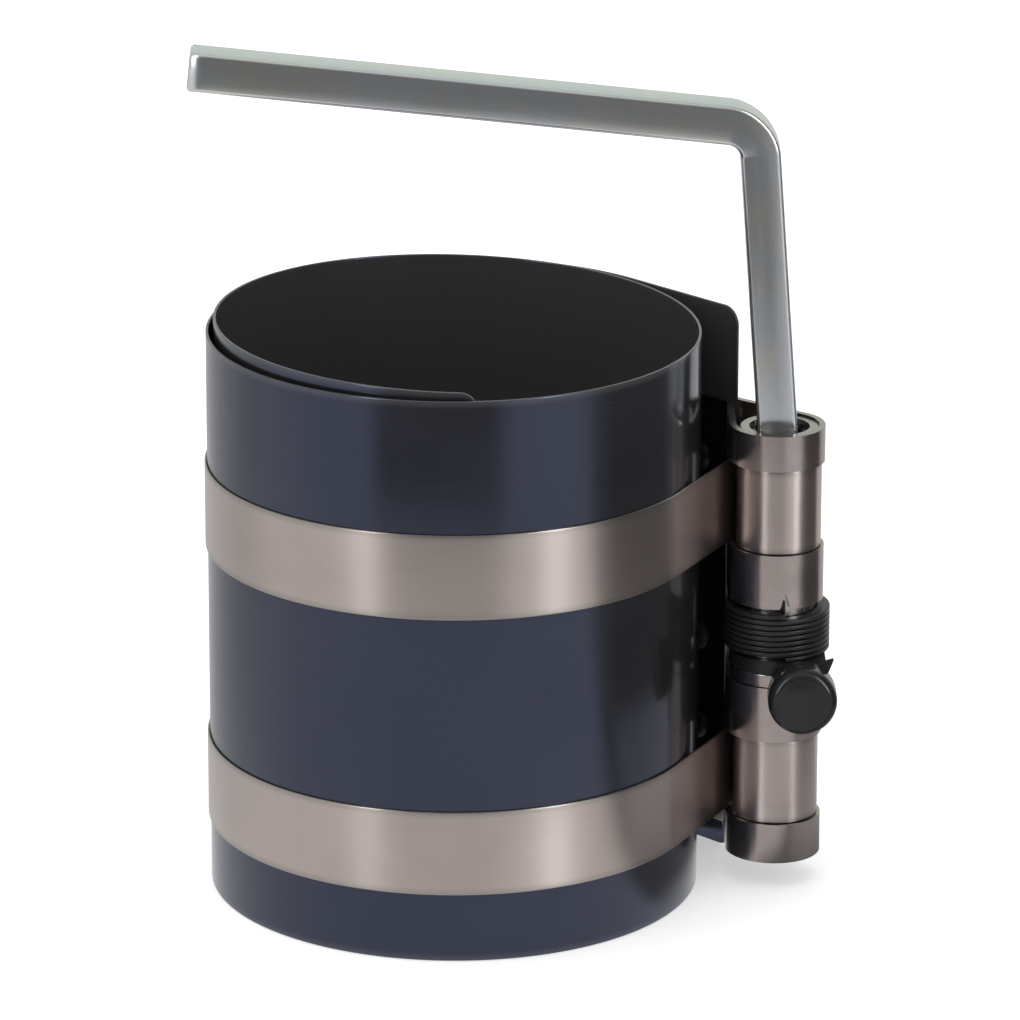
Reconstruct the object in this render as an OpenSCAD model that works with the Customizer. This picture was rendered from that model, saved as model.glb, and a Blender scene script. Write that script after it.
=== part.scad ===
// Piston ring compressor. A coiled sleeve of spring steel is drawn closed round a piston by
// two tension bands. They wind on a shaft that a loose L key turns, and a wrap spring holds
// the shaft until its release knob is pushed.
// The sleeve's axis is Z and its lower rim is at z = 0. The shaft stands on the +X side.
// Plans are drawn in the tab's frame: x runs along the tab, and y points outwards from the
// sleeve's axis, square to the tab. One turn about Z then brings them to their place.

/* [Sleeve] */
// Height of the sleeve
sleeve_h = 80; // [76:1:120]
// Outside diameter of the coiled sheet
sleeve_d = 69.2; // [62:0.2:100]
// Thickness of the spring steel sheet
sheet_t = 0.4; // [0.3:0.05:0.6]
// Free space between the two wraps of the sheet
wrap_gap = 0.65; // [0.3:0.05:0.8]
// Direction from the sleeve's axis in which the sheet leaves it to become the tab
tab_angle = 44; // [40:1:50]
// Length of the straight tab
tab_len = 20.7; // [19:0.1:26]
// Radius of the sheet's corners, at the tab and at the inner end
sheet_corner_r = 2.5; // [1:0.1:4]
// Direction of the sheet's inner end
inner_end_angle = 275; // [200:1:285]
// Direction in which the sheet is halfway to passing inside its first wrap
step_angle = 330; // [320:1:335]
// Height that the askew inner wrap gains between the step and its highest side
askew_h = 1.9; // [0.5:0.1:3]
// Direction in which the askew inner wrap stands highest
askew_angle = 185; // [160:5:220]

/* [Tension bands] */
// Width of each band
band_w = 12; // [8:0.5:13]
// Thickness of each band
band_t = 0.3; // [0.2:0.05:0.35]
// Height of the lower band's lower edge
lower_band_z = 9.7; // [8:0.1:12]
// Height of the upper band's lower edge
upper_band_z = 49.3; // [48:0.1:50]
// Turns of band wound on the shaft
band_turns = 2; // [1:1:3]
// Free space under a band, on the sheet and on the tab
band_gap = 0.05; // [0.02:0.01:0.1]
// Free space above and below a band in its window
band_edge_gap = 0.1; // [0.05:0.05:0.2]
// Free space between a band's straight stretch and the coil that turns beside it
coil_gap = 0.12; // [0.1:0.01:0.2]
// Angle over which the straight stretch follows the coil round
lead_angle = 40; // [10:5:60]

/* [Housing] */
// Thickness of the housing's strap
strap_t = 0.9; // [0.6:0.05:1.2]
// Height of the housing's lower edge
housing_z = 3.9; // [2:0.1:6]
// Height of the housing's upper edge
housing_top_z = 66.5; // [64:0.1:72]
// Height of the lower edge of the clutch's gap
clutch_z = 29.8; // [28:0.1:31]
// Distance from the tab's end to the shaft's axis, along the tab
drum_reach = 11.3; // [11:0.1:13]
// Distance from the tab's outer face in to the shaft's axis
drum_in = 3.5; // [3:0.1:4.5]
// Angle at which the front leg leaves the tab's direction
leg_slant = 44; // [40:1:50]
// How far the loop stands off the shaft beside the front leg
loop_bulge = 0.5; // [0.2:0.05:0.8]
// Length of the legs' flats that hold the tab
leg_lap = 10.3; // [9:0.1:14]
// Length of the legs between their bend and the windows
leg_stub = 3; // [2:0.1:4]
// Free space between a leg and what it clamps
seat_gap = 0.02; // [0.01:0.01:0.05]

/* [Housing rivets] */
// Diameter of the rivets' shanks
rivet_d = 2.4; // [2:0.1:3]
// Diameter of the rivets' heads
rivet_head_d = 4.2; // [3.5:0.1:5]
// Height of the rivets' heads
rivet_head_h = 1.1; // [0.8:0.1:1.5]
// Distance from the tab's end in to the rivets
rivet_in = 6.2; // [5:0.1:7]
// Number of rivets
rivet_count = 4; // [3:1:5]

/* [Shaft] */
// Outside diameter of the shaft
shaft_d = 10.8; // [10:0.1:12]
// Diameter of the round mouth above the square socket
mouth_d = 8.4; // [8:0.1:9]
// Depth of the slots that hold the bands' ends
slot_depth = 1.2; // [0.8:0.1:1.3]
// Free space round the shaft in the housing's loops
run_gap = 0.1; // [0.05:0.01:0.15]
// Depth of the shaft's end below the housing's upper edge
shaft_sink = 0.3; // [0:0.1:1]
// Width across the flats of the square socket
socket_w = 6.35; // [6.3:0.05:6.5]
// Length of the square socket
socket_len = 7; // [5:0.5:8]
// Depth of the socket below the shaft's end
socket_sink = 1.2; // [0.5:0.1:3]

/* [Clutch] */
// Height of the steel ring below the release lever
spacer_h = 1.9; // [1:0.1:2.5]
// Height of the release lever's hub
hub_h = 2; // [1.5:0.1:2.5]
// Outside diameter of the release lever's hub
hub_d = 13.2; // [12.8:0.1:14]
// Turns of the wrap spring
spring_turns = 8; // [5:1:9]
// Rise of the wrap spring in one turn
spring_pitch = 0.78; // [0.6:0.02:0.85]
// Height of the wrap spring's flat wire
wire_h = 0.64; // [0.4:0.02:0.7]
// Width of the wrap spring's flat wire
wire_w = 1.75; // [1:0.05:2]
// Free space between the pieces stacked on the shaft
stack_gap = 0.1; // [0.05:0.05:0.2]
// Free space round the shaft in the spring and in the lever's hub
clutch_gap = 0.2; // [0.1:0.05:0.3]
// Width of the notch that holds the spring's upper end
notch_w = 1.6; // [1.2:0.1:2]
// Height of the notch that holds the spring's upper end
notch_h = 2.3; // [2:0.1:4]

/* [Release lever] */
// Direction of the knob, counted from the tab's own direction
knob_angle = -44; // [-60:1:-30]
// Diameter of the knob
knob_d = 9.6; // [7:0.1:11]
// Length of the knob
knob_len = 4.9; // [4:0.1:8]
// Radius of the knob's front edge
knob_edge_r = 1.4; // [0.5:0.1:2]
// Distance of the knob's axis to one side of the shaft's axis
knob_side = 3.2; // [0:0.1:4]
// Distance of the knob's axis below the top of the lever's hub
knob_drop = 4.2; // [3:0.1:6]
// Width of the lever's arm
arm_w = 6.8; // [5:0.1:8]
// Thickness of the lever's arm
arm_t = 1.1; // [0.8:0.1:1.5]
// Free space between the arm and the barrel behind it
arm_gap = 0.25; // [0.2:0.05:0.5]

/* [Key] */
// Width across the flats of the key
key_w = 5.5; // [5:0.1:5.6]
// Radius of the key's long edges
key_edge_r = 0.55; // [0.2:0.05:1]
// Length of the key's leg, from its tip to the arm's middle line
key_leg = 51; // [40:1:90]
// Length of the key's arm, from the leg's middle line to its end
key_arm = 78; // [50:1:120]
// Radius of the bend on its inner side
key_bend_r = 2; // [1:0.1:5]
// Angle through which the key is bent
key_bend = 80; // [75:1:90]
// Angle at which the key leans in its loose socket
key_lean = 4.1; // [0:0.1:4.1]
// Free space between the key's tip and the socket's floor
key_tip_gap = 0.4; // [0.3:0.1:1]
// Direction of the key's arm, counted from the tab's own direction
key_angle = 226; // [0:1:360]

/* [Hidden] */

$fn = 64;
overrun = 1; // how far a cut runs past the faces that it opens
weld = 0.2; // how far two runs of one strip pass into each other where they meet
run_step = 0.02; // how far one run's faces lie inside those of the run that it meets
frame_turn = tab_angle - 90; // turn from the tab's frame to the part's frame

// Sleeve: the first wrap, two arcs that step inwards by one sheet and one gap, the second wrap
sleeve_r = sleeve_d / 2;
step_in = sheet_t + wrap_gap;
inner_r = sleeve_r - step_in; // outside radius of the inner wrap
step_mid = step_angle - frame_turn;
step_end = 90 + 360;
step_start = 2 * step_mid - step_end;
inner_end = inner_end_angle - frame_turn + 360;
step_shift = (step_in - 3 * run_step) / (2 * (1 - cos((step_end - step_start) / 2)));
step_out_r = sleeve_r - step_shift - run_step;
step_in_r = inner_r + step_shift + run_step;
tab_y = sleeve_r + run_step; // outer face of the tab
step_out_centre = step_shift * direction(step_start);
step_in_centre = -step_shift * direction(step_end);
askew_aim = askew_angle - frame_turn;
askew_pivot = sleeve_r * cos(step_mid - askew_aim); // the wrap tilts about a line through the step
askew_tilt = atan(askew_h / (sleeve_r - askew_pivot));
corner_back = inner_end - asin(sheet_corner_r / inner_r); // where the inner end's corners begin
corner_rise = (inner_r * cos(corner_back - askew_aim) - askew_pivot) * tan(askew_tilt);

// Shaft's place, and the radius of the band wound on it
drum = [tab_len + drum_reach, sleeve_r - drum_in];
shaft_r = shaft_d / 2;
wound_gap = band_gap / 2;
coil_r = shaft_r + wound_gap + band_turns * band_t;

// Bands: middle line on the sheet, and the straight stretch to the shaft's far side
band_mid = band_gap + band_t / 2;
lead_r = coil_r + coil_gap + band_t / 2;
exit_circle_r = step_in_r + band_mid;
exit_angle = crossing_tangent(step_in_centre, exit_circle_r, drum, lead_r);
band_lap = 1; // the bands stop this far short of the tab's end
rivet_low_share = 0.64; // height of the lowest rivet on its band, as a share of the band's width
rivet_spread_share = 0.04; // the same share's change from the lowest rivet to the highest

// Housing: middle lines of the legs and loops
loop_r = shaft_r + run_gap + strap_t / 2;
bulge_r = loop_r + loop_bulge;
bulge_centre = drum + loop_bulge * direction(180 - leg_slant);
strap_inner_t = strap_t - 2 * run_step; // thickness of each second run of the strap
front_y = tab_y - sheet_t - seat_gap - strap_t / 2;
back_y = tab_y + band_gap + band_t + seat_gap + strap_t / 2;
front_rise = (front_y - bulge_centre[1]) * cos(leg_slant);
bend_x = bulge_centre[0] - (bulge_r + front_rise) / sin(leg_slant);
flat_x = bend_x - leg_lap;
back_slant = 90 - leg_slant;
front_touch = bulge_centre + bulge_r * direction(180 + back_slant);
front_bend = [bend_x, front_y];
back_bend = [bend_x, back_y];
back_span = norm(drum - back_bend);
back_aim = atan2(drum[1] - back_y, drum[0] - bend_x) + asin(loop_r / back_span);
back_touch = drum + loop_r * direction(back_aim + 90);
loop_outer_r = loop_r + strap_t / 2;

// Heights of the pieces stacked in the clutch's gap
spacer_z = clutch_z + stack_gap;
hub_z = spacer_z + spacer_h + stack_gap;
spring_z = hub_z + hub_h + stack_gap;
spring_top_z = spring_z + spring_turns * spring_pitch + wire_h;
spring_headroom = 0.6;
clutch_top_z = spring_top_z + spring_headroom;
spring_r = shaft_r + clutch_gap;

// Shaft's ends and the socket
shaft_top_z = housing_top_z - shaft_sink;
socket_top_z = shaft_top_z - socket_sink;
socket_mid_z = socket_top_z - socket_len / 2;
slot_gap = 0.05;
slot_angle = exit_angle + 180;
coil_span = 345; // the outermost turn stops short of the whole circle, where the band leaves

// Release lever
hub_r = hub_d / 2;
arm_y = -(loop_outer_r + arm_gap);
knob_z = hub_z + hub_h - knob_drop;
arm_end_r = arm_w / 2;
knob_pin_d = 2.4;
knob_pin_head_d = 4.2;
knob_pin_head_h = 0.5;
knob_pin_share = 0.6; // of the knob's length
knob_pin_depth = knob_len * knob_pin_share;
pin_gap = 0.02;
lug_w = 2;
lug_h = 2.4;

// Key
key_engage = socket_len / 2 - key_tip_gap; // from the middle of the socket down to the tip
key_mid_r = key_bend_r + key_w / 2;
key_tangent = key_mid_r * tan(key_bend / 2);

function direction(angle) = [cos(angle), sin(angle)];

function along(p, q) = (q - p) / norm(q - p);

// Angle from the first circle's centre to its touch point on the line that passes between two circles
function crossing_tangent(c1, r1, c2, r2) =
    atan2(c2[1] - c1[1], c2[0] - c1[0]) - acos((r1 + r2) / norm(c2 - c1));

// Corner points of the spring's flat wire, one ring of four at each step along the helix
spring_steps = 30;
function spring_ring(i) =
    let (a = 360 * i / spring_steps, z = spring_z + spring_pitch * i / spring_steps)
    [for (c = [[0, 0], [wire_w, 0], [wire_w, wire_h], [0, wire_h]])
        [(spring_r + c[0]) * cos(a), (spring_r + c[0]) * sin(a), z + c[1]]];

module in_place() {
    rotate([0, 0, frame_turn])
        children();
}

module at_drum(turn = 0) {
    translate([drum[0], drum[1], 0])
        rotate([0, 0, turn])
            children();
}

// Pie slice about the origin from the x axis round to an angle, wider than the circle of radius r
module slice(r, angle) {
    steps = ceil(angle / 60);
    polygon(concat([[0, 0]], [for (i = [0 : steps]) 2 * r * direction(angle * i / steps)]));
}

// Ring of thickness t outwards from radius r
module ring(r, t) {
    difference() {
        circle(r + t);
        circle(r);
    }
}

// Plan of a strip of thickness t along an arc, outwards from radius r, run on at both ends by the weld
module arc_run(centre, r, t, from, to) {
    more = weld / r * 180 / PI;
    translate(centre)
        rotate(from - more)
            intersection() {
                ring(r, t);
                slice(r + t, to - from + 2 * more);
            }
}

// Plan of a strip of thickness t centred on the line from p to q, and run on by the weld
module straight_run(p, q, t) {
    translate(p)
        rotate(atan2(q[1] - p[1], q[0] - p[0]))
            translate([-weld, -t / 2])
                square([norm(q - p) + 2 * weld, t]);
}

// Pulls a plan up between two heights
module upright(low, high) {
    translate([0, 0, low])
        linear_extrude(high - low)
            children();
}

// Square bar section with rounded corners, centred
module rounded_square(w, r) {
    square([w, w - 2 * r], center = true);
    square([w - 2 * r, w], center = true);
    for (x = [-1, 1], y = [-1, 1])
        translate([x, y] * (w / 2 - r))
            circle(r);
}

// Outline of the tab: length along x, height along y, rounded at its free end
module tab_outline() {
    r = sheet_corner_r;
    square([tab_len - r, sleeve_h]);
    translate([tab_len - 2 * r, r])
        square([2 * r, sleeve_h - 2 * r]);
    for (y = [r, sleeve_h - r])
        translate([tab_len - r, y])
            circle(r);
}

// Everything between the two planes in which the askew inner wrap lies, above the lower rim
module askew_slab() {
    wide = 4 * sleeve_r;
    intersection() {
        rotate([0, 0, askew_aim])
            translate([askew_pivot, 0, 0])
                rotate([0, -askew_tilt, 0])
                    translate([-wide / 2, -wide / 2, 0])
                        cube([wide, wide, sleeve_h]);
        translate([-wide / 2, -wide / 2, 0])
            cube([wide, wide, 2 * sleeve_h]);
    }
}

// What is cut off the two corners of the sheet's inner end
module inner_corners() {
    r = sheet_corner_r;
    rotate([0, 0, corner_back])
        translate([inner_r - 2 * sheet_t, 0, corner_rise])
            rotate([90, 0, 90])
                linear_extrude(2 * sheet_t + wrap_gap / 2)
                    for (side = [0, 1])
                        translate([0, side * sleeve_h])
                            mirror([0, side])
                                difference() {
                                    translate([0, -r])
                                        square([2 * r, 2 * r]);
                                    translate([0, r])
                                        circle(r);
                                }
}

module sleeve() {
    color([0.23, 0.23, 0.29])
        in_place()
            difference() {
                union() {
                    upright(0, sleeve_h) {
                        arc_run([0, 0], sleeve_r - sheet_t, sheet_t, 90, step_start);
                        arc_run(step_out_centre, step_out_r - sheet_t, sheet_t, step_start, step_mid);
                    }
                    difference() {
                        intersection() {
                            upright(-askew_h, sleeve_h + askew_h) {
                                arc_run(step_in_centre, step_in_r - sheet_t, sheet_t, step_mid, step_end);
                                arc_run([0, 0], inner_r - sheet_t, sheet_t, step_end, inner_end);
                            }
                            askew_slab();
                        }
                        inner_corners();
                    }
                    translate([0, tab_y, 0])
                        rotate([90, 0, 0])
                            linear_extrude(sheet_t)
                                tab_outline();
                }
                rivet_holes();
            }
}

module tension_band(z) {
    touch = step_in_centre + (exit_circle_r + run_step) * direction(exit_angle);
    leave = drum - (lead_r - run_step) * direction(exit_angle);
    color([0.62, 0.59, 0.55])
        in_place()
            difference() {
                upright(z, z + band_w) {
                    translate([0, tab_y + band_gap])
                        square([tab_len - band_lap, band_t]);
                    arc_run([0, 0], sleeve_r + band_gap, band_t, 90, step_start);
                    arc_run(step_out_centre, step_out_r + band_gap, band_t, step_start, step_mid);
                    arc_run(step_in_centre, step_in_r + band_gap, band_t, step_mid, exit_angle + 360);
                    straight_run(touch, leave, band_t);
                    arc_run(drum, lead_r - band_t / 2, band_t, exit_angle + 180 - lead_angle, exit_angle + 180);
                }
                rivet_holes();
            }
}

module upper_tension_band() {
    tension_band(upper_band_z);
}

module lower_tension_band() {
    tension_band(lower_band_z);
}

// Plan of the flats on both sides of the tab, and of the legs as far as the windows
module legs_plan() {
    for (leg = [[front_bend, front_touch], [back_bend, back_touch]]) {
        bend = leg[0];
        translate(bend)
            circle(d = strap_inner_t);
        straight_run([flat_x, bend[1]], bend, strap_t);
        straight_run(bend, bend + leg_stub * along(leg[0], leg[1]), strap_t);
    }
}

// Plan of a loop round the shaft, with its run-outs to the legs
module loop_plan() {
    front_start = front_bend + leg_stub * along(front_bend, front_touch);
    back_start = back_bend + leg_stub * along(back_bend, back_touch);
    straight_run(front_start, front_touch, strap_inner_t);
    arc_run(bulge_centre, bulge_r - strap_t / 2, strap_t, 180 + back_slant, 360 - leg_slant);
    arc_run(drum, loop_r - strap_t / 2 + run_step, strap_inner_t, -leg_slant, back_aim + 90);
    straight_run(back_start, back_touch, strap_inner_t - 2 * run_step);
}

module housing() {
    color([0.6, 0.58, 0.56])
        in_place()
            difference() {
                union() {
                    upright(housing_z, housing_top_z)
                        legs_plan();
                    for (level = [[housing_z, lower_band_z - band_edge_gap],
                            [lower_band_z + band_w + band_edge_gap, clutch_z],
                            [clutch_top_z, upper_band_z - band_edge_gap],
                            [upper_band_z + band_w + band_edge_gap, housing_top_z]])
                        upright(level[0], level[1])
                            loop_plan();
                }
                spring_notch();
                rivet_holes();
            }
}

// Pointed notch in the loop above the clutch, which holds the spring's upper end
module spring_notch() {
    at_drum(knob_angle + 2 * asin(notch_w / (4 * loop_r)) + 90)
        translate([0, 0, clutch_top_z])
            rotate([90, 0, 0])
                linear_extrude(loop_outer_r + overrun)
                    polygon([[-notch_w / 2, -overrun], [notch_w / 2, -overrun], [notch_w / 2, 0],
                        [0, notch_h], [-notch_w / 2, 0]]);
}

function rivet_height(i) =
    lower_band_z + band_w * rivet_low_share
    + (upper_band_z - lower_band_z + band_w * rivet_spread_share) * i / (rivet_count - 1);

// Places a child at each rivet, with its z axis out of the tab's outer face
module at_rivets() {
    for (i = [0 : rivet_count - 1])
        translate([tab_len - rivet_in, tab_y, rivet_height(i)])
            rotate([-90, 0, 0])
                children();
}

module rivet_holes() {
    depth = strap_t + sheet_t + overrun;
    at_rivets()
        translate([0, 0, -depth])
            cylinder(h = 2 * depth, d = rivet_d + 2 * seat_gap);
}

// Low domed head that stands on z = 0
module rivet_head() {
    dome_r = (rivet_head_d * rivet_head_d / 4 + rivet_head_h * rivet_head_h) / (2 * rivet_head_h);
    intersection() {
        translate([0, 0, rivet_head_h - dome_r])
            sphere(dome_r);
        cylinder(h = rivet_head_h + overrun, d = rivet_head_d + overrun);
    }
}

module housing_rivets() {
    front_face = front_y - strap_t / 2 - tab_y - seat_gap;
    back_face = back_y + strap_t / 2 - tab_y + seat_gap;
    color([0.3, 0.3, 0.32])
        in_place()
            at_rivets() {
                translate([0, 0, front_face])
                    cylinder(h = back_face - front_face, d = rivet_d);
                translate([0, 0, back_face])
                    rivet_head();
                translate([0, 0, front_face])
                    mirror([0, 0, 1])
                        rivet_head();
            }
}

module shaft() {
    color([0.55, 0.54, 0.54])
        in_place()
            at_drum()
                difference() {
                    translate([0, 0, housing_z])
                        cylinder(h = shaft_top_z - housing_z, d = shaft_d);
                    translate([0, 0, socket_top_z])
                        cylinder(h = socket_sink + overrun, d = mouth_d);
                    rotate([0, 0, key_angle - 180])
                        translate([-socket_w / 2, -socket_w / 2, socket_top_z - socket_len])
                            cube([socket_w, socket_w, socket_len + overrun]);
                    for (z = [lower_band_z, upper_band_z])
                        rotate([0, 0, slot_angle])
                            translate([shaft_r - slot_depth, -band_t / 2 - slot_gap, z - slot_gap])
                                cube([shaft_r, band_t + 2 * slot_gap, band_w + 2 * slot_gap]);
                }
}

// Turns of band on the shaft, and the end that is hooked through the shaft's slot
module band_coil(z) {
    inner = shaft_r + wound_gap;
    last = coil_r - band_t;
    color([0.62, 0.59, 0.55])
        in_place()
            at_drum()
                upright(z, z + band_w) {
                    if (band_turns > 1)
                        ring(inner, last - inner + run_step);
                    arc_run([0, 0], last, band_t, slot_angle, slot_angle + coil_span);
                    rotate(slot_angle)
                        translate([shaft_r - slot_depth + slot_gap, -band_t / 2])
                            square([last - shaft_r + slot_depth, band_t]);
                }
}

module upper_band_coil() {
    band_coil(upper_band_z);
}

module lower_band_coil() {
    band_coil(lower_band_z);
}

module spacer_ring() {
    color([0.6, 0.58, 0.56])
        in_place()
            at_drum()
                upright(spacer_z, spacer_z + spacer_h)
                    ring(shaft_r + run_gap, strap_t);
}

module clutch_spring() {
    rings = spring_turns * spring_steps;
    points = [for (i = [0 : rings], p = spring_ring(i)) p];
    sides = [for (i = [0 : rings - 1], k = [0 : 3])
        let (a = 4 * i + k, b = 4 * i + (k + 1) % 4)
        [a, a + 4, b + 4, b]];
    tang_angle = knob_angle + 2 * asin(notch_w / (4 * loop_r));
    color([0.12, 0.12, 0.13])
        in_place()
            at_drum(tang_angle) {
                polyhedron(points, concat([[0, 1, 2, 3]], sides,
                    [[4 * rings + 3, 4 * rings + 2, 4 * rings + 1, 4 * rings]]));
                translate([spring_r, -notch_w / 5, spring_top_z - wire_h])
                    cube([strap_t, notch_w / 5, wire_h + spring_headroom + notch_h / 2]);
            }
}

module release_lever() {
    hub_hole_d = shaft_d + 2 * clutch_gap;
    color([0.12, 0.12, 0.13])
        in_place()
            at_drum(knob_angle + 90)
                difference() {
                    union() {
                        translate([0, 0, hub_z])
                            cylinder(h = hub_h, r = hub_r);
                        translate([knob_side - arm_w / 2, arm_y - arm_t, hub_z])
                            cube([arm_w, arm_t - arm_y, hub_h]);
                        translate([knob_side - arm_w / 2, arm_y - arm_t, knob_z])
                            cube([arm_w, arm_t, hub_z + hub_h - knob_z]);
                        translate([knob_side, arm_y, knob_z])
                            rotate([90, 0, 0])
                                cylinder(h = arm_t, r = arm_end_r);
                        translate([0, arm_y, 0])
                            rotate([90, 0, 0])
                                linear_extrude(arm_t)
                                    lug_outline();
                    }
                    translate([0, 0, hub_z - overrun])
                        cylinder(h = hub_h + 2 * overrun, d = hub_hole_d);
                    knob_axis()
                        translate([0, 0, -overrun])
                            cylinder(h = arm_t + 2 * overrun, d = knob_pin_d + 2 * pin_gap);
                    knob_axis()
                        translate([0, 0, -overrun])
                            cylinder(h = knob_pin_head_h + overrun, d = knob_pin_head_d + 2 * pin_gap);
                }
}

// Pointed lug at the arm's upper corner
module lug_outline() {
    side = knob_side + arm_w / 2;
    top = hub_z + hub_h;
    polygon([[side - lug_w, hub_z], [side, hub_z], [side + lug_w / 2, top + lug_h / 4],
        [side - lug_w / 2, top], [side - lug_w, top]]);
}

// Puts a child on the knob's axis, with z pointing out of the knob's face from the arm's back
module knob_axis() {
    translate([knob_side, arm_y, knob_z])
        rotate([90, 0, 0])
            children();
}

module release_knob() {
    r = knob_d / 2;
    color([0.1, 0.1, 0.1])
        in_place()
            at_drum(knob_angle + 90)
                knob_axis()
                    translate([0, 0, arm_t])
                        difference() {
                            rotate_extrude() {
                                square([r - knob_edge_r, knob_len]);
                                square([r, knob_len - knob_edge_r]);
                                translate([r - knob_edge_r, knob_len - knob_edge_r])
                                    intersection() {
                                        circle(knob_edge_r);
                                        square(knob_edge_r);
                                    }
                            }
                            translate([0, 0, -overrun])
                                cylinder(h = knob_pin_depth + overrun + pin_gap, d = knob_pin_d + 2 * pin_gap);
                        }
}

module knob_pin() {
    color([0.4, 0.4, 0.42])
        in_place()
            at_drum(knob_angle + 90)
                knob_axis() {
                    cylinder(h = knob_pin_head_h, d = knob_pin_head_d);
                    cylinder(h = arm_t + knob_pin_depth, d = knob_pin_d);
                }
}

module key() {
    straight = key_leg - key_tangent;
    color([0.72, 0.73, 0.7])
        in_place()
            at_drum(key_angle - 180)
                translate([0, 0, socket_mid_z])
                    rotate([0, -key_lean, 0])
                        translate([0, 0, -key_engage]) {
                            linear_extrude(straight + weld)
                                rounded_square(key_w, key_edge_r);
                            translate([-key_mid_r, 0, straight])
                                rotate([90, 0, 0])
                                    rotate_extrude(angle = key_bend)
                                        translate([key_mid_r, 0])
                                            rounded_square(key_w - 2 * run_step, key_edge_r);
                            translate([-key_mid_r, 0, straight])
                                rotate([0, -key_bend, 0])
                                    translate([key_mid_r, 0, -weld])
                                        linear_extrude(key_arm - key_tangent + weld)
                                            rounded_square(key_w, key_edge_r);
                        }
}

sleeve();
upper_tension_band();
lower_tension_band();
housing();
housing_rivets();
shaft();
upper_band_coil();
lower_band_coil();
spacer_ring();
clutch_spring();
release_lever();
release_knob();
knob_pin();
key();
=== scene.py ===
import math

import bmesh
import bpy
import numpy as np
from mathutils import Euler, Matrix, Vector


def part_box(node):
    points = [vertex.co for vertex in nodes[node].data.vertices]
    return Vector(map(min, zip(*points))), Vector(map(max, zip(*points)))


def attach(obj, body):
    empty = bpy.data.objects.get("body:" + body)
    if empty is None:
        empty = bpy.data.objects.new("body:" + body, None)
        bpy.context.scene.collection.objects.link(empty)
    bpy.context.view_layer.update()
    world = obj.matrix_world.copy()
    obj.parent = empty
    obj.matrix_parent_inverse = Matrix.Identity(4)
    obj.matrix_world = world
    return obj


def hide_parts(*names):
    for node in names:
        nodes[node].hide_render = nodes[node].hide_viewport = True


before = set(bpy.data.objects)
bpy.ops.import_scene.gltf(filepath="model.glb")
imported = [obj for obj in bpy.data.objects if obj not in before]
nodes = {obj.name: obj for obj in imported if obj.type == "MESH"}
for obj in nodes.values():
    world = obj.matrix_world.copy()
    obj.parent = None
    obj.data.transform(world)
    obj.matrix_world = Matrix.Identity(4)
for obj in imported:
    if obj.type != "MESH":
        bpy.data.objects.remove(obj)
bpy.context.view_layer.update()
print("frame loaded:", len(nodes), "CAD nodes")

mm = 0.001

# the camera, as fitted to the rims of the sleeve
camera = {
    "target": (0.0, 0.0, 0.040),  # a point on the sleeve's axis, halfway up
    "distance": 1.0027,
    "elevation": 18.95,  # degrees above the horizon
    "roll": 0.09,  # degrees
    "focalPixels": 7188.0,  # focal length in pixels of the picture
    "targetPixel": (454.1, 601.9),  # where the target falls in the picture
    "imageSize": 1020.0,
    "sensorWidth": 36.0,  # mm
    "clip": (0.05, 30.0),
}


def makeCamera(settings):
    # stands back from the target along -Y and up, and turns until the target falls on its pixel
    data = bpy.data.cameras.new("camera")
    body = bpy.data.objects.new("camera", data)
    bpy.context.scene.collection.objects.link(body)
    data.sensor_width = settings["sensorWidth"]
    data.lens = settings["focalPixels"] / settings["imageSize"] * settings["sensorWidth"]
    lift = math.radians(settings["elevation"])
    middle = settings["imageSize"] / 2
    yaw = math.atan((middle - settings["targetPixel"][0]) / settings["focalPixels"])
    pitch = math.atan((settings["targetPixel"][1] - middle) / settings["focalPixels"])
    target = Vector(settings["target"])
    body.location = target + settings["distance"] * Vector((0, -math.cos(lift), math.sin(lift)))
    aim = Euler((math.pi / 2 - lift + pitch, 0, -yaw)).to_matrix()
    roll = Matrix.Rotation(math.radians(settings["roll"]), 3, "Z")
    body.rotation_euler = (aim @ roll).to_euler()
    data.clip_start, data.clip_end = settings["clip"]
    bpy.context.scene.camera = body


makeCamera(camera)
print("camera made")


def arcPoints(centre, radius, start, end, spacing):
    # points on a circle from one angle to another, about one spacing apart
    count = max(2, int(abs(math.radians(end - start)) * radius / spacing) + 1)
    angle = np.radians(np.linspace(start, end, count))
    return np.stack([centre[0] + radius * np.cos(angle), centre[1] + radius * np.sin(angle)], axis=1)


def linePoints(start, end, spacing):
    # points on a straight line, about one spacing apart
    start, end = np.array(start, float), np.array(end, float)
    count = max(2, int(np.linalg.norm(end - start) / spacing) + 1)
    share = np.linspace(0, 1, count)[:, None]
    return start + share * (end - start)


def joinRuns(runs):
    # one path from several runs that follow each other, without the doubled points where they meet
    doubled = 0.02  # mm
    path = np.concatenate(runs)
    gap = np.linalg.norm(np.diff(path, axis=0), axis=1)
    return path[np.concatenate([[True], gap > doubled])]


def turned(points, degrees):
    # plan points turned about the sleeve's axis, counterclockwise from above
    angle = math.radians(degrees)
    spin = np.array([[math.cos(angle), math.sin(angle)], [-math.sin(angle), math.cos(angle)]])
    return points @ spin


def pathFrame(path):
    # unit normals to the left of the path, and the length along it
    step = np.gradient(path, axis=0)
    step /= np.linalg.norm(step, axis=1)[:, None]
    normal = np.stack([-step[:, 1], step[:, 0]], axis=1)
    length = np.concatenate([[0], np.cumsum(np.linalg.norm(np.diff(path, axis=0), axis=1))])
    return normal, length


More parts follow.
